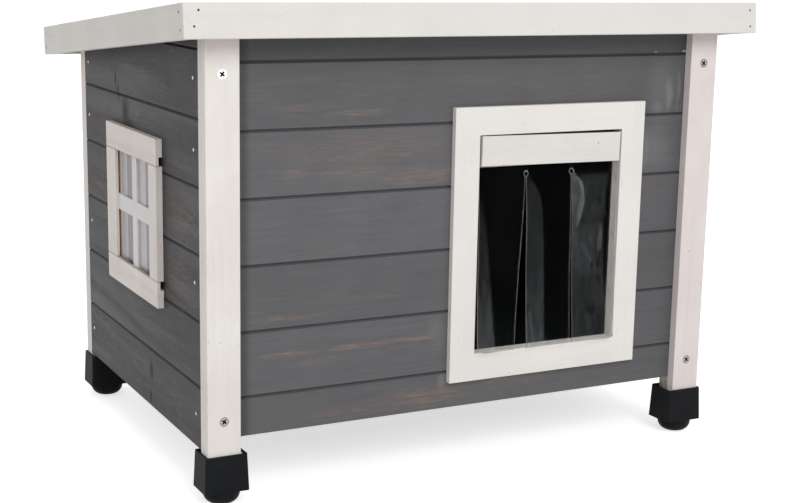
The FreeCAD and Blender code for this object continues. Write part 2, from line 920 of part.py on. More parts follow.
def write_corners():
    for name, side, end in corners:
        save("leg_board_" + name, [without_hinge_screws(leg_board(side, end))])
        save("corner_batten_" + name, [corner_batten(side, end)])
        save("foot_cap_" + name, [foot_cap(side, end)])
        save("foot_glide_" + name, [foot_glide(side, end)])
    save("leg_strips", [leg_strip(side, end) for _, side, end in corners])
    save("foot_packers", [foot_packer(side, end) for _, side, end in corners])
    save("foot_shims", [foot_shim(side, end) for _, side, end in corners])
    save("leg_screws", leg_screws())
    save("wall_nails", outer_nails() + inner_nails())


def write_door():
    for name, piece in door_frame().items():
        save(name, [piece])
    save("curtain_batten", [curtain_batten()])
    save("curtain_back_strip", [curtain_back_strip()])
    save("curtain_end_pins", end_pins())
    save("curtain_header", [curtain_header()])
    for name, piece in curtain_flaps().items():
        save(name, [piece])


def write_window():
    for name, piece in window_frame().items():
        save(name, [piece])
    upright, cross_bars = window_muntins()
    save("window_muntin_upright", [upright])
    save("window_muntin_cross_bars", cross_bars)
    save("window_pane", [window_pane()])


def write_lid():
    for name, piece in fascias().items():
        save(name, [piece])
    board = roof_sheet(felt_recess + felt_thickness, roof_board_thickness)
    save("roof_board", [without_hinge_screws(board)])
    save("roof_felt", [roof_sheet(felt_recess, felt_thickness)])
    save("roof_battens", roof_battens())
    save("roof_brads", fascia_brads())
    save("hinge_leaves_body", [body_hinge_leaf(side) for side in (-1, 1)])
    save("hinge_leaves_lid", [lid_hinge_leaf(side) for side in (-1, 1)])
    save("hinge_pins", hinge_pins())
    body_screws, lid_screws = hinge_screws()
    save("hinge_screws_body", body_screws)
    save("hinge_screws_lid", lid_screws)


write_walls()
write_corners()
write_door()
write_window()
write_lid()
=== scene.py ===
# %% [markdown]
# # A raised wooden cat house
#
# The house comes in as finished geometry: every board, screw and foot is already
# cut to size. This lesson dresses it. It sets the camera where the photographer
# stood, lights the house as in a small studio, mixes paint, glaze, steel and
# plastic from nodes, and makes the soft curtain strips.

# %% Load the built house
import math
import bpy
from mathutils import Matrix, Vector
from types import SimpleNamespace


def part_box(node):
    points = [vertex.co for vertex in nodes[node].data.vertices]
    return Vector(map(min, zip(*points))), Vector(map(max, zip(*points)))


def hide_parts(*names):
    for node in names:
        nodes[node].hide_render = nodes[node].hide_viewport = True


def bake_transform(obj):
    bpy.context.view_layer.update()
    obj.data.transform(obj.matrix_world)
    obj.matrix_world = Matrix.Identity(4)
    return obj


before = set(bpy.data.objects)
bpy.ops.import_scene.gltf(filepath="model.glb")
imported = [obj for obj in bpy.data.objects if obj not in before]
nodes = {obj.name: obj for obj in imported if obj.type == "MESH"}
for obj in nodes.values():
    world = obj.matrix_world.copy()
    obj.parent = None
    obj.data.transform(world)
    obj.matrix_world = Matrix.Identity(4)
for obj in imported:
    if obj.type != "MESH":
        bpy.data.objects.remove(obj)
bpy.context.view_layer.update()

# %% [markdown]
# ## Small helpers
#
# Colours are written as the hex values that a colour picker shows, and one
# function turns them to linear light. Another adds a shader node. What comes first
# in its call fills the node's inputs in their order, and what has a name goes to
# the input or the setting of that name. A number, a hex colour, an output or a
# whole node will do, so each material reads like a recipe.

# %% Colour and node helpers
def srgb(code):
    values = [int(code[start:start + 2], 16) / 255 for start in (1, 3, 5)]
    return [v / 12.92 if v <= 0.04045 else ((v + 0.055) / 1.055) ** 2.4 for v in values] + [1.0]


def fill(tree, socket, value):
    if isinstance(value, bpy.types.Node):
        value = value.outputs[0]
    if isinstance(value, bpy.types.NodeSocket):
        tree.links.new(value, socket)
    else:
        socket.default_value = srgb(value) if isinstance(value, str) else value


def add(tree, kind, *inputs, **settings):
    node = tree.nodes.new("ShaderNode" + kind)
    for name, value in settings.items():
        if name in node.inputs:
            fill(tree, node.inputs[name], value)
        else:
            setattr(node, name, value)
    for index, value in enumerate(inputs):
        fill(tree, node.inputs[index], value)
    return node


print("a picked grey of #808080 is", round(srgb("#808080")[0], 3), "in linear light")

# %% Material helpers
def start_material(name, settings):
    material = bpy.data.materials.new(name)
    material.use_nodes = True
    tree = material.node_tree
    tree.nodes.clear()
    surface = add(tree, "BsdfPrincipled", **settings)
    add(tree, "OutputMaterial", surface)
    return material, tree, surface


def dress(tree, surface, sources):
    for name, source in sources.items():
        fill(tree, surface.inputs[name], source)


def wear(material, *names):
    for name in names:
        slots = nodes[name].data.materials
        slots.clear()
        slots.append(material)


# %% [markdown]
# ## The camera
#
# The photograph was taken from the front left, a little above the lid. A camera
# can be placed by eye, but then nothing quite lines up. Here the place, the angles
# and the focal length were worked out from about fifty edges of the house whose
# real positions are known, so the render can be laid over the photograph.

# %% Camera
PICTURE_WIDTH = 800
FOCAL_PIXELS = 1471.46
SENSOR_WIDTH = 36.0
LOOK_LEVEL = math.radians(90)
camera_place = Vector((-0.66346, -1.32439, 0.47016))
turn, tip, roll = (math.radians(angle) for angle in (-27.4, -11.58, 1.07))

lens_data = bpy.data.cameras.new("photo_camera")
lens_data.sensor_width = SENSOR_WIDTH
lens_data.lens = SENSOR_WIDTH * FOCAL_PIXELS / PICTURE_WIDTH
camera = bpy.data.objects.new("photo_camera", lens_data)
bpy.context.scene.collection.objects.link(camera)
camera.matrix_world = (
    Matrix.Translation(camera_place)
    @ Matrix.Rotation(turn, 4, "Z")
    @ Matrix.Rotation(LOOK_LEVEL + tip, 4, "X")
    @ Matrix.Rotation(roll, 4, "Z")
)
bpy.context.scene.camera = camera
print("lens:", round(lens_data.lens, 2), "mm")

# %% [markdown]
# ## Studio: white sweep and soft sky
#
# Product photographs like this one have light from everywhere and a little more
# from the front and above. A picture of a real studio could light the scene, but a
# plain white world is simpler and adds no colour of its own. Rays that come from
# the camera, or from a mirror or a clear sheet, see that world and the floor as
# plain white, so steel and glass reflect a white room while the light on the house
# stays at its own level.

# %% World
AMBIENT = 0.62


def seen_directly(tree):
    path = add(tree, "LightPath")
    seen = path.outputs["Is Camera Ray"]
    for ray in ("Is Glossy Ray", "Is Transmission Ray"):
        seen = add(tree, "Math", seen, path.outputs[ray], operation="MAXIMUM")
    return seen


world = bpy.data.worlds.new("white_studio")
world.use_nodes = True
tree = world.node_tree
tree.nodes.clear()
strength = add(tree, "MapRange", seen_directly(tree), 0.0, 1.0, AMBIENT, 1.0)
add(tree, "OutputWorld", add(tree, "Background", "#FFFFFF", strength))
bpy.context.scene.world = world
bpy.context.scene.view_settings.view_transform = "Standard"
print("world level:", AMBIENT)

# %% Floor
FLOOR_SIZE = 80.0
FLOOR_LIFT = 0.66
bpy.ops.object.select_all(action="DESELECT")
bpy.ops.mesh.primitive_plane_add(size=FLOOR_SIZE, location=(0, 0, 0))
floor = bpy.context.object
floor.name = "studio_floor"
paper = {"Base Color": "#F4F4F4", "Roughness": 0.9, "Specular IOR Level": 0.0, "Emission Color": "#FFFFFF"}
material, tree, surface = start_material("white_paper_sweep", paper)
lift = add(tree, "Math", seen_directly(tree), FLOOR_LIFT, operation="MULTIPLY")
dress(tree, surface, {"Emission Strength": lift})
floor.data.materials.append(material)
print("floor:", FLOOR_SIZE, "metres wide")

# %% [markdown]
# One large lamp stands in for the photographer's soft box. It is big and near, so
# the shadows under the lid and behind the legs have a soft edge.

# %% Key light
KEY_PLACE = Vector((-0.1, -2.3, 1.75))
HOUSE_MIDDLE = Vector((0.0, 0.0, 0.2))
lamp_data = bpy.data.lights.new("key_light", "AREA")
lamp_data.shape = "SQUARE"
lamp_data.size = 1.3
lamp_data.energy = 24.0
lamp = bpy.data.objects.new("key_light", lamp_data)
lamp.location = KEY_PLACE
lamp.rotation_euler = (HOUSE_MIDDLE - KEY_PLACE).to_track_quat("-Z", "Y").to_euler()
bpy.context.scene.collection.objects.link(lamp)
print("key light:", lamp_data.energy, "watts,", round((HOUSE_MIDDLE - KEY_PLACE).length, 2), "metres away")

# %% [markdown]
# ## White painted softwood
#
# Legs, lid frame, door frame and window frame are planed pine boards with a thin
# coat of satin white paint. Paint this thin follows the grain: fine lines run
# along each board, the tone drifts between a cool and a pinkish white, small
# nicks show dark, and the coat is rubbed thin along the edges. A picture of
# painted wood would repeat from board to board, and noise doesn't. Squeezed across
# the board and stretched along it, noise becomes grain, so each direction of board
# has its own version of the material.

# %% Grain along a board
ALONG_X, ALONG_Y, ALONG_Z = 0, 1, 2


def board_place(tree, along, stretch, tilt=0.0):
    place = add(tree, "TexCoord").outputs["Object"]
    level = add(tree, "Mapping", place, Rotation=(-tilt, 0, 0))
    scale = [1.0, 1.0, 1.0]
    scale[along] = 1.0 / stretch
    return add(tree, "Mapping", level, Scale=scale)


def parts_of(tree, kind):
    return add(tree, "SeparateXYZ", add(tree, "TexCoord").outputs[kind]).outputs


# How far a height is from a given level
def gap_to(tree, height, level):
    return add(tree, "Math", add(tree, "Math", height, level, operation="SUBTRACT"), operation="ABSOLUTE")


# Shows the surface that lies within a small distance of a sharp edge
def edge_mask(tree, radius):
    rounded = add(tree, "Bevel", samples=4, Radius=radius)
    plain = add(tree, "NewGeometry").outputs["Normal"]
    closeness = add(tree, "VectorMath", rounded, plain, operation="DOT_PRODUCT")
    return add(tree, "MapRange", closeness.outputs["Value"], 0.999, 0.90)


# %% [markdown]
# Each pattern has a real size. Scale says how many of it fit in a metre: 900 is a
# fine line every 1.1 mm, 90 is a band of grain every 11 mm, 16 is a change of tone
# every 6 cm, and 300 is a place for a nick every 3 mm, of which few get one.

# %% Patterns of the paint
GRAIN_STRETCH = 24.0
FINE_LINES = {"Scale": 900.0, "Detail": 3.0, "Roughness": 0.6}
GRAIN_BANDS = {"Scale": 90.0, "Detail": 4.0, "Roughness": 0.6, "Distortion": 0.4}
TONE_DRIFT = {"Scale": 16.0, "Detail": 3.0, "Roughness": 0.55}
SCUFFS = {"Scale": 75.0, "Detail": 4.0, "Roughness": 0.7, "Distortion": 1.5}
NICKS = {"Scale": 300.0, "Detail": 1.0, "Roughness": 0.55}
RUBBED_PLACES = {"Scale": 150.0, "Detail": 3.0, "Roughness": 0.55}
RUBBED_WIDTH = 0.0010
JOINT_LINE = (0.0009, 0.0004)


def painted_grain(tree, still, lines, bands, tones, grain):
    drift = add(tree, "TexNoise", still, **TONE_DRIFT)
    base = add(tree, "MixRGB", add(tree, "MapRange", drift, 0.35, 0.65), *tones)
    lines_shown = add(tree, "MapRange", lines, 0.54, 0.76, 0.0, 0.30 * grain)
    base = add(tree, "MixRGB", lines_shown, base, "#C2BCB4")
    bands_shown = add(tree, "MapRange", bands, 0.52, 0.74, 0.0, 0.34 * grain)
    return add(tree, "MixRGB", bands_shown, base, "#C9C2B9")


def scuffed(tree, still, base):
    scuffs = add(tree, "MapRange", add(tree, "TexNoise", still, **SCUFFS), 0.62, 0.72, 0.0, 0.16)
    base = add(tree, "MixRGB", scuffs, base, "#A9A49D")
    nicks = add(tree, "MapRange", add(tree, "TexNoise", still, **NICKS), 0.800, 0.822, 0.0, 0.8)
    return add(tree, "MixRGB", nicks, base, "#6F675E")


def rubbed_edges(tree, still, base, edge_wear):
    patchy = add(tree, "TexNoise", still, **RUBBED_PLACES)
    patchy = add(tree, "MapRange", patchy, 0.48, 0.66, 0.0, 0.35 * edge_wear)
    rubbed = add(tree, "Math", edge_mask(tree, RUBBED_WIDTH), patchy, operation="MULTIPLY")
    return add(tree, "MixRGB", rubbed, base, "#A99C8C")


# %% [markdown]
# The coat is built up as on the bench: grain first, then knocks and scuffs, then
# the dark line where two boards meet, painted shade on faces that look up where
# a piece asks for it, and the wear of the edges last. Pine's lines stand a little
# proud under the paint, so the same noises also lift the surface by a few tenths
# of a millimetre.

# %% White paint
def white_paint(name, along, tones, grain, tilt=0.0, edge_wear=1.0, shade_above=0.0, joints=()):
    material, tree, surface = start_material(name, {"IOR": 1.5, "Specular IOR Level": 0.25})
    place = board_place(tree, along, GRAIN_STRETCH, tilt)
    still = add(tree, "TexCoord").outputs["Object"]
    lines = add(tree, "TexNoise", place, **FINE_LINES)
    bands = add(tree, "TexNoise", place, **GRAIN_BANDS)
    base = scuffed(tree, still, painted_grain(tree, still, lines, bands, tones, grain))
    for level in joints:
        gap = gap_to(tree, parts_of(tree, "Object")["Z"], level)
        base = add(tree, "MixRGB", add(tree, "MapRange", gap, *JOINT_LINE, 0.0, 0.5), base, "#8C7468")
    # Painted shade: faces that look up are darkened, as in the dark gap above the curtain batten.
    if shade_above:
        top_shade = add(tree, "MapRange", parts_of(tree, "Normal")["Z"], 0.7, 0.9, 0.0, shade_above)
        base = add(tree, "MixRGB", top_shade, base, "#1C1A18")
    if edge_wear:
        base = rubbed_edges(tree, still, base, edge_wear)
    bump = add(tree, "Bump", Strength=0.25, Distance=0.0002, Height=lines)
    swell = add(tree, "Bump", Strength=0.25, Distance=0.0006, Height=bands, Normal=bump)
    roughness = add(tree, "MapRange", bands, 0.3, 0.7, 0.48, 0.62)
    dress(tree, surface, {"Base Color": base, "Roughness": roughness, "Normal": swell})
    return material


# %% Who wears which white
LID_SLOPE = math.radians(-5.5)
COOL = ("#EFECE7", "#EAE6E1")
PINKISH = ("#EFEBE5", "#EBE2DD")
ROSY = ("#E8E1DE", "#E4D8D7")
LID = ("#E7E4DF", "#E2DED9")
SASH = ("#EFE9E3", "#E8DFD9")
MUNTIN = ("#EBEAE8", "#E5E3E1")
no_wear = {"edge_wear": 0.0}
sloping = {"tilt": LID_SLOPE}
# The curtain batten's top lies in a dark gap below the door frame's top rail: painted shade.
shaded_top = {"shade_above": 0.95}
jointed = {"edge_wear": 1.4, "joints": [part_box("window_frame_near_stile")[side].z for side in (0, 1)]}
corner_names = ["front_left", "front_right", "back_left", "back_right"]
leg_boards = ["leg_board_" + corner for corner in corner_names]
white_coats = [
    ("legs", ALONG_Z, PINKISH, 0.6, {}, leg_boards + ["leg_strips", "foot_shims"]),
    ("right_front_leg", ALONG_Z, ROSY, 0.6, {}, ["leg_board_front_right"]),
    ("lid_front", ALONG_X, LID, 0.35, sloping, ["roof_fascia_front", "roof_fascia_back"]),
    ("lid_sides", ALONG_Y, LID, 0.35, sloping, ["roof_fascia_left", "roof_fascia_right"]),
    ("door_stiles", ALONG_Z, COOL, 0.4, no_wear, ["door_frame_left_stile", "door_frame_right_stile"]),
    ("door_rails", ALONG_X, COOL, 0.4, no_wear, ["door_frame_top_rail", "door_frame_bottom_rail"]),
    ("window_stiles", ALONG_Z, SASH, 0.9, jointed, ["window_frame_near_stile", "window_frame_far_stile"]),
    ("window_rails", ALONG_Y, SASH, 0.9, jointed, ["window_frame_top_rail", "window_frame_bottom_rail"]),
    ("muntin", ALONG_Z, MUNTIN, 0.4, {}, ["window_muntin_upright"]),
    ("cross_bars", ALONG_Y, MUNTIN, 0.4, {}, ["window_muntin_cross_bars"]),
    ("curtain_batten", ALONG_X, LID, 0.8, shaded_top, ["curtain_batten"]),
]
for finish, along, tones, grain, more, wearers in white_coats:
    wear(white_paint("satin_white_paint_on_pine_" + finish, along, tones, grain, **more), *wearers)
print("white paint in", len(white_coats), "versions")

# %% [markdown]
# ## Grey glazed boards
#
# The walls are tongued pine boards under a dark grey glaze. A glaze is not opaque:
# where it went on thin, the wood shows through as reddish brown streaks along the
# grain. Plain grey paint with a wood picture over it would look the same on every
# board, but on the real wall every board took the glaze a little differently. So
# the board's number, which comes from its height, picks its tint and shifts its
# grain to another part of the noise.

# %% Grain of each board
BOARD_PITCH = 0.0573
FRONT_FIRST_JOINT = 0.0913
SIDE_FIRST_JOINT = 0.1021
BOARD_STRETCH = 14.0
BOARD_SHIFT = 7.0
GLAZED_LINES = {"Scale": 900.0, "Detail": 3.0, "Roughness": 0.65}
YEAR_RINGS = {"Scale": 150.0, "Detail": 5.0, "Roughness": 0.6, "Distortion": 0.9}
WIDE_STREAKS = {"Scale": 46.0, "Detail": 3.0, "Roughness": 0.5, "Distortion": 0.6}
CLOUDS = {"Scale": 24.0, "Detail": 3.0, "Roughness": 0.5}


def board_grain(tree, along, first_joint):
    still = add(tree, "TexCoord").outputs["Object"]
    parts = parts_of(tree, "Object")
    counted = add(tree, "MapRange", parts["Z"], first_joint, first_joint + BOARD_PITCH, clamp=False)
    board = add(tree, "Math", counted, operation="FLOOR")
    chance = add(tree, "TexWhiteNoise", noise_dimensions="1D", W=board).outputs
    shift = add(tree, "VectorMath", chance["Color"], operation="SCALE", Scale=BOARD_SHIFT)
    moved = add(tree, "VectorMath", still, shift, operation="ADD")
    scale = [1.0, 1.0, 1.0]
    scale[along] = 1.0 / BOARD_STRETCH
    place = add(tree, "Mapping", moved, Scale=scale)
    return SimpleNamespace(
        axis="XY"[along], parts=parts, chance=chance["Value"], moved=moved, place=place,
        lines=add(tree, "TexNoise", place, **GLAZED_LINES),
        rings=add(tree, "TexNoise", place, **YEAR_RINGS),
        streaks=add(tree, "TexNoise", place, **WIDE_STREAKS),
        cloud=add(tree, "TexNoise", moved, **CLOUDS),
    )


# %% [markdown]
# Sawn lengthways, the rings of a tree make long nested arches. They are drawn as
# the height lines of a slow hill of noise: the height is multiplied, only the part
# after the point is kept, and that repeats once for each ring.

# %% Tint of each board
ARCH_HILLS = {"Scale": 34.0, "Detail": 2.0, "Roughness": 0.4, "Distortion": 0.3}
RINGS_PER_HILL = 30.0
ARCH_PATCHES = {"Scale": 11.0, "Detail": 2.0, "Roughness": 0.55}
TOP_BOARD_LINE = 0.0005
GLAZE_SHADES = [
    ("cloud", 0.35, 0.70, "#4E4D50"),
    ("rings", 0.45, 0.72, "#4A494C"),
    ("lines", 0.56, 0.78, "#7E7B77"),
]


def arches(tree, grain, strength):
    hill = add(tree, "TexNoise", grain.place, **ARCH_HILLS)
    rings = add(tree, "Math", hill, RINGS_PER_HILL, operation="MULTIPLY")
    gap = gap_to(tree, add(tree, "Math", rings, operation="FRACT"), 0.5)
    patches = add(tree, "TexNoise", grain.moved, **ARCH_PATCHES)
    patches = add(tree, "MapRange", patches, 0.42, 0.62, 0.0, strength)
    return add(tree, "Math", add(tree, "MapRange", gap, 0.36, 0.49), patches, operation="MULTIPLY")


def glaze_tint(tree, grain, tones, lid_shadow_level, arch_strength):
    tint = add(tree, "MixRGB", grain.chance, *tones)
    # Painted shadow of the lid on the front's top board, which is also a little darker of its own.
    painted_lid_shadow = add(tree, "MapRange", grain.parts["Z"], lid_shadow_level, lid_shadow_level + TOP_BOARD_LINE, 0.0, 0.40)
    tint = add(tree, "MixRGB", painted_lid_shadow, tint, "#3F3F42")
    for pattern, low, high, colour in GLAZE_SHADES:
        shown = add(tree, "MapRange", getattr(grain, pattern), low, high, 0.0, 0.22)
        tint = add(tree, "MixRGB", shown, tint, colour)
    return add(tree, "MixRGB", arches(tree, grain, arch_strength), tint, "#8A8782")


# %% [markdown]
# The marks that make these walls this house's own are placed one by one: thin
# glaze, pale wipes of a rag, knots, and painted light: pale reflections beside the
# right leg and a painted shade over the right end of the front. Each is a soft oval
# at its real place. An oval alone looks stuck on, so the thin places sway with the
# rings and break up along the fine lines, and the pale marks drift with the clouds.

# %% Marks on the walls
GRAIN_SWAY = 0.012
PALE_MARK_DRIFT = 0.012


# A soft oval mark on a wall, strongest in its middle
def soft_spot(tree, parts, across, middle, reach, level, rise, strength):
    squares = []
    for part, centre, half in ((across, middle, reach), ("Z", level, rise)):
        away = add(tree, "Math", parts[part], centre, operation="SUBTRACT")
        share = add(tree, "Math", away, half, operation="DIVIDE")
        squares.append(add(tree, "Math", share, share, operation="MULTIPLY"))
    near = add(tree, "MapRange", add(tree, "Math", *squares, operation="ADD"), 1.0, 0.0)
    soft = add(tree, "Math", near, near, operation="MULTIPLY")
    return add(tree, "Math", soft, strength, operation="MULTIPLY")


def thin_places(tree, grain, tint, spots):
    sway = add(tree, "MapRange", grain.rings, 0.0, 1.0, -GRAIN_SWAY / 2, GRAIN_SWAY / 2, clamp=False)
    height = add(tree, "Math", grain.parts["Z"], sway, operation="ADD")
    swaying = {grain.axis: grain.parts[grain.axis], "Z": height}
    by_rings = add(tree, "MapRange", grain.rings, 0.36, 0.62, 0.25, 1.0)
    by_lines = add(tree, "MapRange", grain.lines, 0.38, 0.62, 0.35, 1.2)
    broken = add(tree, "Math", by_rings, by_lines, operation="MULTIPLY")
    thin = add(tree, "MapRange", grain.streaks, 0.60, 0.76, 0.0, 0.25)
    for spot in spots:
        mark = add(tree, "Math", soft_spot(tree, swaying, grain.axis, *spot), broken, operation="MULTIPLY")
        thin = add(tree, "Math", thin, mark, operation="MAXIMUM")
    wood = add(tree, "MixRGB", add(tree, "MapRange", grain.lines, 0.4, 0.66), "#7C6C64", "#907E73")
    return add(tree, "MixRGB", add(tree, "Math", thin, 0.85, operation="MULTIPLY"), tint, wood)


# Pale marks: rag wipes and chips, and beside the right leg a painted reflection.
def pale_wipes_and_reflections(tree, grain, tint, wipes_and_reflections):
    drift = add(tree, "MapRange", grain.cloud, 0.0, 1.0, -PALE_MARK_DRIFT / 2, PALE_MARK_DRIFT / 2, clamp=False)
    across = add(tree, "Math", grain.parts[grain.axis], drift, operation="ADD")
    for pale_mark in wipes_and_reflections:
        mark = soft_spot(tree, {grain.axis: across, "Z": grain.parts["Z"]}, grain.axis, *pale_mark)
        tint = add(tree, "MixRGB", mark, tint, "#C8C7C8")
    return tint


def knot_and_shade_mask(tree, grain, knots_and_shade):
    mask = soft_spot(tree, grain.parts, grain.axis, *knots_and_shade[0])
    for dark_spot in knots_and_shade[1:]:
        mark = soft_spot(tree, grain.parts, grain.axis, *dark_spot)
        mask = add(tree, "Math", mask, mark, operation="MAXIMUM")
    return mask


# %% [markdown]
# Edges and ends differ from the face. The chamfers between the boards hold more
# glaze and stay darker. Where the doorway and the window were cut, the end grain
# was painted white with the frames. For a few millimetres beside the left leg the
# boards lie in its shade. The cabin's own faces, and the nails in it, are painted
# nearly black as painted shade, so the doorway looks as deep as it does in daylight.

# %% Edges, ends and inside
INSIDE_X, INSIDE_FRONT, INSIDE_BACK = 0.2524, -0.1816, 0.1595
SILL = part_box("door_frame_bottom_rail")[1].z
SILL_LINE = (0.0006, 0.0003)
LEG_SHADE = (-0.2223, -0.2163)


def inside_cabin(tree, parts):
    between_sides = add(tree, "Math", parts["X"], operation="ABSOLUTE")
    between_sides = add(tree, "Math", between_sides, INSIDE_X, operation="LESS_THAN")
    behind_front = add(tree, "Math", parts["Y"], INSIDE_FRONT, operation="GREATER_THAN")
    before_back = add(tree, "Math", parts["Y"], INSIDE_BACK, operation="LESS_THAN")
    deep = add(tree, "Math", behind_front, before_back, operation="MULTIPLY")
    return add(tree, "Math", between_sides, deep, operation="MULTIPLY")


def edges_and_ends(tree, grain, tint):
    facing = parts_of(tree, "Normal")
    lean = add(tree, "Math", facing["Z"], operation="ABSOLUTE")
    leaning = add(tree, "MapRange", lean, 0.3, 0.6, 0.0, 0.42)
    chamfer = add(tree, "Math", leaning, add(tree, "MapRange", lean, 0.95, 0.85), operation="MULTIPLY")
    tint = add(tree, "MixRGB", chamfer, tint, "#2F2E31")
    sill = add(tree, "MapRange", gap_to(tree, grain.parts["Z"], SILL), *SILL_LINE)
    level_cut = add(tree, "Math", lean, sill, operation="MULTIPLY")
    upright_cut = add(tree, "Math", facing[grain.axis], operation="ABSOLUTE")
    cut = add(tree, "Math", upright_cut, level_cut, operation="MAXIMUM")
    paint = add(tree, "MixRGB", add(tree, "MapRange", grain.lines, 0.35, 0.65), "#F0ECE4", "#DDD8CE")
    return add(tree, "MixRGB", add(tree, "MapRange", cut, 0.88, 0.96), tint, paint)


# %% Grey glaze
def grey_glaze(name, along, first_joint, tones, thin, knots_and_shade, lid_shadow_level=1.0, arch_strength=0.16, wipes_and_reflections=()):
    material, tree, surface = start_material(name, {"IOR": 1.5})
    grain = board_grain(tree, along, first_joint)
    tint = glaze_tint(tree, grain, tones, lid_shadow_level, arch_strength)
    tint = pale_wipes_and_reflections(tree, grain, thin_places(tree, grain, tint, thin), wipes_and_reflections)
    # Knots darken the glaze, and on the front wall so does a painted shade.
    knot_and_shade = knot_and_shade_mask(tree, grain, knots_and_shade)
    tint = add(tree, "MixRGB", knot_and_shade, tint, "#121110")
    if along == ALONG_X:
        shade = add(tree, "MapRange", grain.parts["X"], *LEG_SHADE, 0.50, 0.0)
        tint = add(tree, "MixRGB", shade, tint, "#2C2F2F")
    tint = edges_and_ends(tree, grain, tint)
    inside = inside_cabin(tree, grain.parts)
    # Painted shade: the cabin's inside faces go nearly black, and their shine is turned off below.
    tint = add(tree, "MixRGB", add(tree, "Math", inside, 0.985, operation="MULTIPLY"), tint, "#171A19")
    dull = add(tree, "Math", inside, knot_and_shade, operation="MAXIMUM")
    bump = add(tree, "Bump", Strength=0.4, Distance=0.0003, Height=grain.lines)
    dress(tree, surface, {
        "Base Color": tint,
        "Specular IOR Level": add(tree, "MapRange", dull, 0.0, 1.0, 0.2, 0.0),
        "Roughness": add(tree, "MapRange", grain.streaks, 0.3, 0.7, 0.46, 0.62),
        "Normal": add(tree, "Bump", Strength=0.3, Distance=0.0008, Height=grain.rings, Normal=bump),
    })
    return material


# %% [markdown]
# Each row below is one mark: its middle and half length along the wall, its height
# and half height, and its strength. The pale wipes and painted reflections, and the
# small pale chips among them, are measured from the joint between boards that they
# lie near.

# %% Where the marks are
FRONT_TOP_JOINT = FRONT_FIRST_JOINT + 5 * BOARD_PITCH
front_thin = [
    (-0.116, 0.044, 0.333, 0.0045, 0.90),
    (-0.172, 0.050, 0.339, 0.0040, 0.60),
    (-0.106, 0.130, 0.302, 0.0200, 0.52),
    (-0.125, 0.050, 0.280, 0.0095, 0.90),
    (-0.055, 0.060, 0.276, 0.0105, 1.00),
    (-0.175, 0.030, 0.283, 0.0070, 0.60),
    (-0.098, 0.034, 0.168, 0.0024, 0.70),
    (-0.180, 0.060, 0.158, 0.0045, 0.55),
    (-0.182, 0.036, 0.126, 0.0044, 1.00),
    (-0.108, 0.046, 0.127, 0.0048, 1.10),
    (-0.058, 0.034, 0.128, 0.0036, 0.90),
    (-0.152, 0.044, 0.115, 0.0034, 0.70),
    (-0.045, 0.075, 0.070, 0.0150, 0.95),
    (-0.125, 0.060, 0.066, 0.0080, 0.75),
    (0.040, 0.070, 0.076, 0.0100, 0.75),
]
# Pale marks on the front: those beside the right leg are painted reflection, the rest wipes and chips.
front_wipes_and_reflections = [
    (0.2030, 0.0240, FRONT_TOP_JOINT - 0.0320, 0.0420, 0.085),
    (0.2125, 0.0052, FRONT_TOP_JOINT - 0.0390, 0.0240, 0.160),
    (0.2230, 0.0024, FRONT_TOP_JOINT - 0.0340, 0.0260, 0.150),
    (0.2000, 0.0100, FRONT_TOP_JOINT - 0.0510, 0.0090, 0.100),
    (0.1990, 0.0260, FRONT_TOP_JOINT - 0.0900, 0.0330, 0.110),
    (0.1880, 0.0060, FRONT_TOP_JOINT - 0.0930, 0.0280, 0.110),
    (0.1940, 0.0030, FRONT_TOP_JOINT + 0.0022, 0.0012, 0.500),
    (0.2255, 0.0034, FRONT_TOP_JOINT + 0.0026, 0.0014, 1.000),
    (-0.0290, 0.0070, FRONT_FIRST_JOINT - 0.0070, 0.0110, 0.120),
    (-0.0350, 0.0120, FRONT_FIRST_JOINT + 0.0400, 0.0240, 0.060),
]
# Painted shade: the right end of the front wall lies darker, drawn with the knots.
front_painted_shade = [(0.225, 0.110, 0.250, 0.300, 0.16)]
side_thin = [
    (-0.135, 0.060, 0.245, 0.028, 0.32),
    (-0.130, 0.065, 0.190, 0.028, 0.36),
    (0.110, 0.060, 0.235, 0.030, 0.25),
]
left_knots = [
    (0.0525, 0.0042, 0.3440, 0.0150, 0.85),
    (0.0440, 0.0050, 0.3330, 0.0125, 0.85),
    (0.0220, 0.0180, 0.3165, 0.0210, 0.80),
    (0.0120, 0.0280, 0.3060, 0.0110, 0.55),
    (-0.0460, 0.0090, 0.0820, 0.0150, 0.70),
    (-0.0430, 0.0040, 0.0560, 0.0110, 0.80),
]
other_knots = [(0.110, 0.015, 0.248, 0.011, 0.55), (-0.070, 0.012, 0.140, 0.009, 0.50)]
print("marks:", len(front_thin), "thin places,", len(front_wipes_and_reflections), "wipes and", len(left_knots), "knots_and_shade")

# %% Glaze the four walls
long_wall = (ALONG_X, FRONT_FIRST_JOINT, ("#626264", "#68676A"))
# The side walls wear the front's glaze; their darker tones are painted shade, for the sides that get less
# light.
side_wall_in_painted_shade = (ALONG_Y, SIDE_FIRST_JOINT, ("#302E31", "#363335"))
front_only = {"lid_shadow_level": FRONT_TOP_JOINT, "arch_strength": 0.10, "wipes_and_reflections": front_wipes_and_reflections}
sides_only = {"arch_strength": 0.13}
glazes = [
    ("front", long_wall, front_thin, front_painted_shade, front_only, ["front_wall_boards"]),
    ("back", long_wall, front_thin[1:4], other_knots, {}, ["back_wall_boards", "floor_panel"]),
    ("sides", side_wall_in_painted_shade, side_thin, left_knots, sides_only, ["left_wall_boards"]),
    ("right", side_wall_in_painted_shade, side_thin[1:], other_knots, sides_only, ["right_wall_boards"]),
]
for wall, (along, first_joint, tones), thin, knots_and_shade, more, wearers in glazes:
    wear(grey_glaze("grey_glaze_on_pine_" + wall, along, first_joint, tones, thin, knots_and_shade, **more), *wearers)
print("glaze on", sum(len(row[-1]) for row in glazes), "nodes")

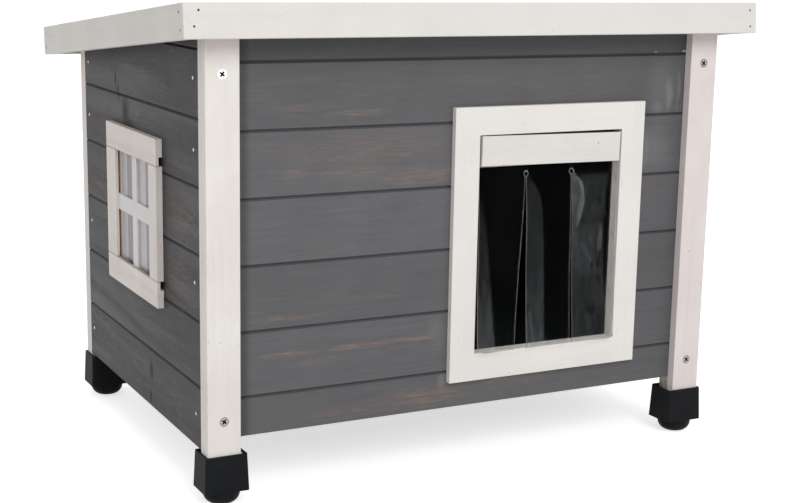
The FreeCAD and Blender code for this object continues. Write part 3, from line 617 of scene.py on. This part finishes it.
# %% [markdown]
# ## Bare pine inside
#
# The packers in the feet, the floor's bearers and the roof's battens and board are
# planed pine that was never painted: matt, with rings every 6 mm or so. The packers
# are drawn paler, painted light that lifts them out of the shade under the walls.
# The posts and corner battens show through the doorway, where the real cabin is
# nearly black, so theirs is the same wood darkened nearly black by painted shade.

# %% Bare pine
PINE_STRETCH = 16.0
PINE_LINES = {"Scale": 900.0, "Detail": 3.0, "Roughness": 0.6}
PINE_RINGS = {"Scale": 170.0, "Detail": 4.0, "Roughness": 0.6, "Distortion": 1.2}
CABIN_SHADE_LEVEL = 0.93
PINE = ("#C9B79C", "#B09A7C")
PINE_LIFTED_BY_PAINTED_LIGHT = ("#F4EAD8", "#E2D2B8")


def bare_pine(name, along, cabin_shade=0.0, tones=PINE):
    material, tree, surface = start_material(name, {"IOR": 1.5, "Specular IOR Level": 0.2 * (1 - cabin_shade)})
    place = board_place(tree, along, PINE_STRETCH)
    lines = add(tree, "TexNoise", place, **PINE_LINES)
    rings = add(tree, "TexNoise", place, **PINE_RINGS)
    base = add(tree, "MixRGB", add(tree, "MapRange", rings, 0.35, 0.7), *tones)
    base = add(tree, "MixRGB", add(tree, "MapRange", lines, 0.5, 0.75, 0.0, 0.4), base, "#86705A")
    dress(tree, surface, {
        "Base Color": add(tree, "MixRGB", cabin_shade, base, "#161514"),
        "Roughness": add(tree, "MapRange", lines, 0.3, 0.7, 0.6, 0.78),
        "Normal": add(tree, "Bump", Strength=0.4, Distance=0.0003, Height=lines),
    })
    return material


corner_battens = ["corner_batten_" + corner for corner in corner_names]
# The packers' paler pine is painted light, lifting them out of the shade under the walls.
wear(bare_pine("bare_pine_packers_in_painted_light", ALONG_Z, 0.0, PINE_LIFTED_BY_PAINTED_LIGHT), "foot_packers")
# The posts and corner battens get painted shade, nearly black like the cabin.
wear(bare_pine("pine_posts_in_painted_shade", ALONG_Z, CABIN_SHADE_LEVEL), "door_posts", *corner_battens)
wear(bare_pine("bare_pine_crosswise", ALONG_X), "curtain_back_strip", "roof_board")
wear(bare_pine("bare_pine_front_to_back", ALONG_Y), "floor_bearers", "roof_battens")
print("bare pine rings every", round(1000 / PINE_RINGS["Scale"], 1), "mm")

# %% [markdown]
# ## Roofing felt
#
# The lid is covered with bitumen felt whose face is pressed full of slate grit.
# Grains could be scattered as small stones, millions of them, but nobody sees one
# stone from here. Each grain is about a millimetre, so the colour and the bump
# both come from one pattern of cells of that size.

# %% Felt
GRIT = 0.0011
FELT_PATCHES = {"Scale": 9.0, "Detail": 3.0, "Roughness": 0.55}
material, tree, surface = start_material("slate_grit_roofing_felt", {"IOR": 1.5, "Roughness": 0.9})
still = add(tree, "TexCoord").outputs["Object"]
cells = add(tree, "TexVoronoi", still, Scale=1 / GRIT, Randomness=1.0).outputs
grit = add(tree, "MixRGB", add(tree, "SeparateColor", cells["Color"]), "#2B2E31", "#5C6164")
patches = add(tree, "MapRange", add(tree, "TexNoise", still, **FELT_PATCHES), 0.4, 0.7, 0.0, 0.4)
dress(tree, surface, {
    "Base Color": add(tree, "MixRGB", patches, grit, "#3A3A38"),
    "Normal": add(tree, "Bump", Strength=0.8, Distance=0.0005, invert=True, Height=cells["Distance"]),
})
wear(material, "roof_felt")
print("felt grit:", GRIT * 1000, "mm")

# %% [markdown]
# ## Black moulded feet
#
# The caps and glides are injection-moulded polypropylene. The mould was spark
# eroded, which leaves pits too small to see but takes the shine off the faces. The
# pits are drawn at 0.7 mm, as fine as the render can show, and the edges are a
# little paler and shinier, where the plastic has rubbed.

# %% Moulded plastic
MOULD_PITS = {"Scale": 1500.0, "Detail": 2.0, "Roughness": 0.55}
PLASTIC_CLOUDS = {"Scale": 60.0, "Detail": 3.0, "Roughness": 0.55}
RUBBED_PLASTIC = 0.0009
plastic = {"IOR": 1.49, "Specular IOR Level": 0.05}
material, tree, surface = start_material("black_moulded_polypropylene", plastic)
still = add(tree, "TexCoord").outputs["Object"]
clouds = add(tree, "MapRange", add(tree, "TexNoise", still, **PLASTIC_CLOUDS), 0.35, 0.7)
base = add(tree, "MixRGB", clouds, "#1B1C1E", "#202123")
rubbed = edge_mask(tree, RUBBED_PLASTIC)
pits = add(tree, "TexNoise", still, **MOULD_PITS)
dress(tree, surface, {
    "Base Color": add(tree, "MixRGB", add(tree, "Math", rubbed, 0.5, operation="MULTIPLY"), base, "#2E2F31"),
    "Roughness": add(tree, "MapRange", rubbed, 0.0, 1.0, 0.5, 0.36),
    "Normal": add(tree, "Bump", Strength=0.3, Distance=0.00012, Height=pits),
})
for corner in corner_names:
    wear(material, "foot_cap_" + corner, "foot_glide_" + corner)
print("plastic on", 2 * len(corner_names), "nodes")

# %% [markdown]
# ## Zinc plated steel
#
# Screws, nails, hinges and pins are zinc plated: a bright, slightly bluish metal
# with soft cloudy differences in shine. One recipe makes them all, and a last step
# may dress the metal further. The nails in the cabin are painted nearly black with
# its walls, as painted shade. The brads in the lid frame are plain dark wire, set
# just below the paint.

# %% Steel
ZINC_CLOUDS = {"Scale": 900.0, "Detail": 3.0, "Roughness": 0.55}
BRIGHT_ZINC = ("#D9DADB", "#A7A9AA")
DARK_WIRE = ("#4A4744", "#2E2C2A")
SHADOW_BLACK = "#0E0E0F"


def steel(name, tones, low_rough, high_rough, last_step=None):
    material, tree, surface = start_material(name, {"Metallic": 1.0})
    still = add(tree, "TexCoord").outputs["Object"]
    clouds = add(tree, "TexNoise", still, **ZINC_CLOUDS)
    tone = add(tree, "MixRGB", add(tree, "MapRange", clouds, 0.35, 0.68), *tones)
    if last_step:
        tone = last_step(tree, parts_of(tree, "Object"), tone)
    dress(tree, surface, {
        "Base Color": tone,
        "Roughness": add(tree, "MapRange", clouds, 0.3, 0.7, low_rough, high_rough),
        "Normal": add(tree, "Bump", Strength=0.2, Distance=0.0001, Height=clouds),
    })
    return material


# Painted shade: nails inside the cabin go nearly black.
def in_cabin_shade(tree, parts, tone):
    return add(tree, "MixRGB", inside_cabin(tree, parts), tone, SHADOW_BLACK)


fittings = ["hinge_leaves_body", "hinge_leaves_lid", "hinge_pins"]
fittings += ["hinge_screws_body", "hinge_screws_lid", "curtain_end_pins"]
wear(steel("bright_zinc_on_steel", BRIGHT_ZINC, 0.28, 0.45), *fittings)
wear(steel("zinc_nails_in_painted_shade", BRIGHT_ZINC, 0.28, 0.45, in_cabin_shade), "wall_nails")
wear(steel("dark_brad_wire", DARK_WIRE, 0.45, 0.65), "roof_brads")
print("bright zinc on", len(fittings), "nodes, painted shade on the nails, dark wire for the brads")

# %% [markdown]
# The crosses of the screws hold painted shade, and a dark ring is drawn round each
# rim. The crosses are deep enough to find by depth: whatever lies below the plane
# of the heads is dark. The rims are found by their distance from the nearest
# screw's middle. The upper left screw gets a painted glint: it is nearly white, and
# it has no dark ring.

# %% Screw heads
SCREW_ACROSS = 0.2443
SCREW_LEVELS = [0.0752, 0.3692, 0.3332]
SCREW_RIM, RIM_FADE = 0.0033, 0.0005
HEADS_MIDDLE_Y, HEADS_HALF_DEPTH = -0.011254, 0.186702
CROSS_DEPTHS = (0.0002, 0.0005)
UPPER_SCREWS = 0.35


def screws_with_painted_shade_and_glint(tree, parts, tone):
    across = add(tree, "Math", parts["X"], operation="ABSOLUTE")
    across = add(tree, "Math", across, SCREW_ACROSS, operation="SUBTRACT")
    gaps = [gap_to(tree, parts["Z"], level) for level in SCREW_LEVELS]
    nearest = add(tree, "Math", gaps[1], gaps[2], operation="MINIMUM")
    nearest = add(tree, "Math", gaps[0], nearest, operation="MINIMUM")
    squares = [add(tree, "Math", side, side, operation="MULTIPLY") for side in (across, nearest)]
    reach = add(tree, "Math", add(tree, "Math", *squares, operation="ADD"), operation="SQRT")
    rim = add(tree, "MapRange", reach, SCREW_RIM, SCREW_RIM + RIM_FADE)
    on_left = add(tree, "Math", parts["X"], 0.0, operation="LESS_THAN")
    high_up = add(tree, "Math", parts["Z"], UPPER_SCREWS, operation="GREATER_THAN")
    # The upper left screw gets a painted glint: nearly white.
    glinting_screw = add(tree, "Math", on_left, high_up, operation="MULTIPLY")
    rim_strength = add(tree, "MapRange", glinting_screw, 0.0, 1.0, 0.85, 0.0)
    dark_rim = add(tree, "Math", rim, rim_strength, operation="MULTIPLY")
    tone = add(tree, "MixRGB", dark_rim, add(tree, "MixRGB", glinting_screw, tone, "#FAFAFA"), "#3B3A39")
    # Painted shade in the screw crosses, below the plane of the heads.
    depth = gap_to(tree, parts["Y"], HEADS_MIDDLE_Y)
    sunk = add(tree, "MapRange", depth, *[HEADS_HALF_DEPTH - below for below in CROSS_DEPTHS])
    return add(tree, "MixRGB", sunk, tone, SHADOW_BLACK)


screw_steel = steel("zinc_screws_with_painted_shade_and_glint", ("#B9B9B7", "#8E8F8E"), 0.35, 0.5, screws_with_painted_shade_and_glint)
wear(screw_steel, "leg_screws")
print("screw heads at heights of", [round(1000 * level, 1) for level in SCREW_LEVELS], "mm")

# %% [markdown]
# ## Window pane
#
# The pane is a clear acrylic sheet. Clear glass alone would let the dark cabin show,
# but the real pane looks pale grey with darker bands. So the sheet lets only a
# little light through, its surface is dull, and its colour is painted light: a pale
# grey for the white room it reflects, darker bands beside the bars, and a warm band
# by the far stile, each drawn at its real place.

# %% Acrylic
REFLECTION_CLOUDS = {"Scale": 40.0, "Detail": 3.0, "Roughness": 0.55}
PAINTED_BANDS = [(0.0045, 0.0115, "#6C686C"), (-0.0530, 0.0118, "#6C686C"), (0.0360, 0.0060, "#F2DDCB")]
BAND_FADE = 0.002
acrylic = {"IOR": 1.49, "Roughness": 0.22, "Transmission Weight": 0.15, "Specular IOR Level": 0.15}
material, tree, surface = start_material("clear_acrylic_sheet", acrylic)
clouds = add(tree, "TexNoise", add(tree, "TexCoord").outputs["Object"], **REFLECTION_CLOUDS)
painted_reflection = add(tree, "MixRGB", add(tree, "MapRange", clouds, 0.35, 0.65), "#C8C5C6", "#BDB9BB")
# Painted light: darker bands beside the bars and a warm band by the far stile.
for middle, half, shade in PAINTED_BANDS:
    gap = gap_to(tree, parts_of(tree, "Object")["Y"], middle)
    painted_reflection = add(tree, "MixRGB", add(tree, "MapRange", gap, half, half - BAND_FADE, 0.0, 0.8), painted_reflection, shade)
dress(tree, surface, {"Base Color": painted_reflection})
wear(material, "window_pane")
print("film bands on the pane:", len(PAINTED_BANDS))

# %% [markdown]
# ## Strip curtain
#
# The curtain is one soft clear vinyl sheet, clamped behind the batten and slit
# twice from a punched hole, so three strips hang side by side. Glass would be
# wrong for it: soft sheet blurs what is behind it a little. About a third of the
# light is scattered forwards, and where the sheet is hazy part of that third comes
# back. How hazy each place is comes from a value stored in the sheet's points, and
# the same value carries painted sheen: pale streaks that stand for reflected light.

# %% Curtain sheet material
FORWARD_SCATTER = 0.35
HAZE_AND_SHEEN_STRETCH = 2.5
HAZE_AND_SHEEN_CLOUDS = {"Scale": 110.0, "Detail": 5.0, "Roughness": 0.7, "Distortion": 1.5}
MOTTLES = {"Scale": 420.0, "Detail": 5.0, "Roughness": 0.75, "Distortion": 2.0}
SPECKS = {"Scale": 750.0, "Detail": 1.0, "Roughness": 0.55}
EDGE_CLOUDS = {"Scale": 120.0, "Detail": 3.0, "Roughness": 0.55}


def mottled_haze_and_sheen(tree, haze_and_sheen, place):
    clouds = add(tree, "MapRange", add(tree, "TexNoise", place, **HAZE_AND_SHEEN_CLOUDS), 0.38, 0.62, 0.55, 1.5)
    haze_and_sheen = add(tree, "Math", haze_and_sheen, clouds, operation="MULTIPLY")
    mottles = add(tree, "MapRange", add(tree, "TexNoise", place, **MOTTLES), 0.40, 0.60, -1.0, 1.0)
    where_pale = add(tree, "MapRange", haze_and_sheen, 0.020, 0.060, 0.0, 0.55)
    mottles = add(tree, "Math", mottles, where_pale, operation="MULTIPLY")
    haze_and_sheen = add(tree, "Math", haze_and_sheen, add(tree, "Math", mottles, 1.0, operation="ADD"), operation="MULTIPLY")
    specks = add(tree, "MapRange", add(tree, "TexNoise", place, **SPECKS), 0.785, 0.805, 0.0, 0.22)
    return add(tree, "Math", haze_and_sheen, specks, operation="MAXIMUM")


vinyl = {"IOR": 1.03, "Roughness": 0.3, "Alpha": FORWARD_SCATTER, "Specular IOR Level": 0.0}
sheet_face, tree, surface = start_material("clear_soft_vinyl_sheet", vinyl)
haze_and_sheen = add(tree, "Attribute", attribute_name="haze_and_sheen").outputs["Fac"]
haze_and_sheen = mottled_haze_and_sheen(tree, haze_and_sheen, board_place(tree, ALONG_Z, HAZE_AND_SHEEN_STRETCH))
dress(tree, surface, {
    "Base Color": "#E2E6E9",
    "Transmission Weight": add(tree, "MapRange", haze_and_sheen, 0.0, FORWARD_SCATTER, 1.0, 0.0),
})

cut_vinyl = {"IOR": 1.53, "Roughness": 0.3, "Alpha": 0.9, "Specular IOR Level": 0.25}
sheet_edge, tree, surface = start_material("clear_soft_vinyl_cut_edge", cut_vinyl)
clouds = add(tree, "TexNoise", add(tree, "TexCoord").outputs["Object"], **EDGE_CLOUDS)
edge_tone = add(tree, "MixRGB", add(tree, "MapRange", clouds, 0.35, 0.65), "#97908A", "#A08E7E")
dress(tree, surface, {"Base Color": edge_tone})
print("the sheet scatters", FORWARD_SCATTER, "of the light")

# %% [markdown]
# The strips follow the sheet's measured outline. A flat plane could be cut with a
# curved knife line, but a grid whose points are moved to the outline keeps even
# faces that can bow. Distances run down the strip from the line where it bends, so
# the clamped part above it is negative. Rows crowd at the punched hole and at the
# rounded corner, columns crowd at the cut edges.

# %% Sizes of the strips
SHEET_Y = -0.190056
HINGE_Z = 0.2712
SHEET_THICKNESS = 0.001
CLAMPED_RISE = 0.0123
STRIP_LENGTH = 0.1634
LEAN = math.radians(3.0)
HOLE = 0.0021
SLIT_HALF = 0.0004
CORNER = 0.007
COLUMNS = 56
header_low, header_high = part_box("curtain_header")
slit_left = header_low.x + (header_high.x - header_low.x) / 3
slit_right = header_low.x + (header_high.x - header_low.x) * 2 / 3


def spread(start, end, count, crowd=False):
    shares = [index / count for index in range(count)]
    if crowd:
        shares = [0.5 - 0.5 * math.cos(math.pi * share) for share in shares]
    return [start + (end - start) * share for share in shares]


row_depths = spread(-CLAMPED_RISE, -HOLE, 6) + spread(-HOLE, HOLE, 16, True)
row_depths += spread(HOLE, STRIP_LENGTH - CORNER, 100)
row_depths += spread(STRIP_LENGTH - CORNER, STRIP_LENGTH, 12, True) + [STRIP_LENGTH]
ROWS = len(row_depths) - 1
print("each strip:", COLUMNS, "columns and", ROWS, "rows of faces")

# %% Outline of a strip
SIDE_CROWDING = 0.6


def clamp(value):
    return max(0.0, min(1.0, value))


def smooth(value):
    value = clamp(value)
    return value * value * (3 - 2 * value)


def between(points, place):
    for (p0, v0), (p1, v1) in zip(points[:-1], points[1:]):
        if place <= p1:
            return v0 + (v1 - v0) * clamp((place - p0) / (p1 - p0))
    return points[-1][1]


def crowded(share):
    return share - SIDE_CROWDING * math.sin(2 * math.pi * share) / (2 * math.pi)


# Where one side of a strip runs: straight beside the frame, or round a hole and along a slit
def side_x(depth, top_x, flare, inward, slit, round_corner):
    x = top_x + flare * clamp(depth / STRIP_LENGTH)
    if slit:
        hole = math.sqrt(max(0.0, HOLE * HOLE - depth * depth))
        x += inward * max(hole, SLIT_HALF if depth > 0 else 0.0)
    left_over = STRIP_LENGTH - depth
    if round_corner and left_over < CORNER:
        x += inward * (CORNER - math.sqrt(max(0.0, CORNER * CORNER - (CORNER - left_over) ** 2)))
    return x


# %% [markdown]
# Old soft sheet shows pale where it bows towards the light and clear where it is
# flat. Here the pale places are partly haze and partly painted sheen: the lens and
# the crease are painted reflections, and the ring round the hole a painted
# highlight. Both directions on a strip are shares: across runs from its left side to
# its right, and down from the bend to the lower edge. The tables say, for a place
# down the strip, how far across a pale part reaches or how strong it is.

# %% Painted highlight round the hole, and haze of the left strip
CLEAR_HAZE = 0.0015
RING_HIGHLIGHT, RING_WIDTH = 0.20, 0.0009
left_edge = [(0, 0.07), (1, 0.50)]


def hole_ring(x, depth):
    reach = min(math.hypot(x - slit_left, depth), math.hypot(x - slit_right, depth)) - HOLE
    return RING_HIGHLIGHT * smooth(1 - reach / RING_WIDTH)


def left_haze(across, down):
    grey = 0.006 + 0.030 * down ** 2.5
    return grey * smooth((between(left_edge, down) - across) / 0.05) * smooth((down - 0.08) / 0.12)


# %% Painted sheen of the middle strip: one long lens of reflection beside the slit
lens_edge = [
    (0, 0), (0.03, 0.10), (0.06, 0.20), (0.12, 0.33), (0.20, 0.38), (0.32, 0.41), (0.64, 0.44), (1, 0.43)
]
lens_grey = [(0.0, 0.0100), (0.5, 0.0135), (0.8, 0.0280), (1.0, 0.0360)]


def middle_painted_sheen(across, down):
    inside = smooth((between(lens_edge, down) - across) / 0.035)
    return between(lens_grey, down) * inside * smooth(down / 0.04)


# %% Haze and painted sheen of the right strip: a bright crease below the hole, a veil, a patch and a smear
VEIL, PATCH, SMEAR = 0.0145, 0.028, 0.010
crease = [
    (0, 0.02), (0.045, 0.19), (0.083, 0.28), (0.15, 0.285), (0.2, 0.275), (0.33, 0.14), (0.36, 0.04), (1, 0.0)
]
crease_light = [(0, 0.3), (0.04, 1), (0.10, 0.8), (0.20, 1), (0.28, 0.8), (0.34, 0), (1, 0)]
dark_from = [(0, 0.82), (0.30, 0.69), (0.50, 0.69), (0.85, 0.74), (1, 0.76)]


def right_haze_and_sheen(across, down):
    inside = between(crease, down) - across
    pale = (0.035 + 0.075 * smooth(1 - inside / 0.11)) * smooth(inside / 0.035) * between(crease_light, down)
    dark_edge = smooth((across - between(dark_from, down)) / 0.05)
    veil = VEIL * smooth(down / 0.05) * (1 - 0.85 * dark_edge * smooth((0.85 - down) / 0.2))
    patch = smooth((across - 0.56) / 0.05) * smooth((0.68 - across) / 0.015)
    patch *= smooth((down - 0.30) / 0.05) * smooth((0.49 - down) / 0.05)
    smear = smooth((0.62 - across) / 0.22) * smooth((down - 0.30) / 0.08) * smooth((0.66 - down) / 0.14)
    return veil + pale + PATCH * patch + SMEAR * smear


# %% [markdown]
# Now the strips are made. Each starts as a flat grid, its points are moved to the
# outline and pushed into a slight bow with a ripple, and Solidify gives it the
# sheet's millimetre. The cut edges get their own tone, because light leaves a clear
# sheet there.

# %% Shape one strip
RIPPLE, RIPPLE_WAVES = 0.0006, 7
LIT_EDGE, LIT_WIDTH = 0.12, 0.0007
FAR_FROM_EDGES = 1.0


def shape_strip(mesh, left, right, bow, haze_and_sheen):
    marks = mesh.attributes.new("haze_and_sheen", "FLOAT", "POINT")
    for vertex in mesh.vertices:
        across = crowded(vertex.co.x + 0.5)
        depth = row_depths[round((0.5 - vertex.co.y) * ROWS)]
        down = clamp(depth / STRIP_LENGTH)
        x0 = side_x(depth, *left)
        x1 = side_x(depth, *right)
        x = x0 + (x1 - x0) * across
        hang = max(0.0, depth)
        ripple = RIPPLE * math.sin(RIPPLE_WAVES * down) * smooth(down / 0.2)
        out = bow * math.sin(math.pi * across) * smooth(down / 0.25) + ripple
        y = SHEET_Y - hang * math.sin(LEAN) - out
        z = HINGE_Z - (depth if depth < 0 else depth * math.cos(LEAN))
        edge = min(x - x0, x1 - x) if depth > HOLE else FAR_FROM_EDGES
        lit_edge = LIT_EDGE * smooth(1 - edge / LIT_WIDTH)
        # The stored value is haze with painted sheen, a painted highlight round the hole and the lit cut
        # edges.
        marks.data[vertex.index].value = max(CLEAR_HAZE, haze_and_sheen(across, down), hole_ring(x, depth), lit_edge)
        vertex.co = (x, y, z)


# %% Make one strip
def curtain_strip(name, left, right, bow, haze_and_sheen):
    bpy.ops.object.select_all(action="DESELECT")
    bpy.ops.mesh.primitive_grid_add(x_subdivisions=COLUMNS, y_subdivisions=ROWS, size=1)
    strip = bpy.context.object
    strip.name = name
    mesh = strip.data
    shape_strip(mesh, left, right, bow, haze_and_sheen)
    mesh.flip_normals()
    thicken = strip.modifiers.new("thickness", "SOLIDIFY")
    thicken.thickness = SHEET_THICKNESS
    thicken.offset = 0.0
    bpy.ops.object.modifier_apply(modifier=thicken.name)
    mesh.materials.append(sheet_face)
    mesh.materials.append(sheet_edge)
    for face in mesh.polygons:
        face.use_smooth = abs(face.normal.y) > 0.5
        seen_edge = face.normal.x < -0.5 or face.normal.z < -0.5
        face.material_index = int(seen_edge and face.center.z < HINGE_Z)
    return strip


# %% The three strips
strips = {
    "left": curtain_strip(
        "curtain_strip_left", (header_low.x, -0.0013, 1, False, True), (slit_left, -0.0116, -1, True, False),
        0.0008, left_haze
    ),
    "middle": curtain_strip(
        "curtain_strip_middle", (slit_left, 0.0012, 1, True, False), (slit_right, 0.0, -1, True, False),
        -0.0008, middle_painted_sheen
    ),
    "right": curtain_strip(
        "curtain_strip_right", (slit_right, 0.0025, 1, True, False), (header_high.x, 0.0013, -1, False, True),
        0.0010, right_haze_and_sheen
    ),
}
middle = (slit_left + slit_right) / 2
for side, strip in strips.items():
    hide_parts("curtain_flap_" + side)
    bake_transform(strip)
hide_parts("curtain_header")
print("curtain:", {side: len(strip.data.polygons) for side, strip in strips.items()}, "faces")
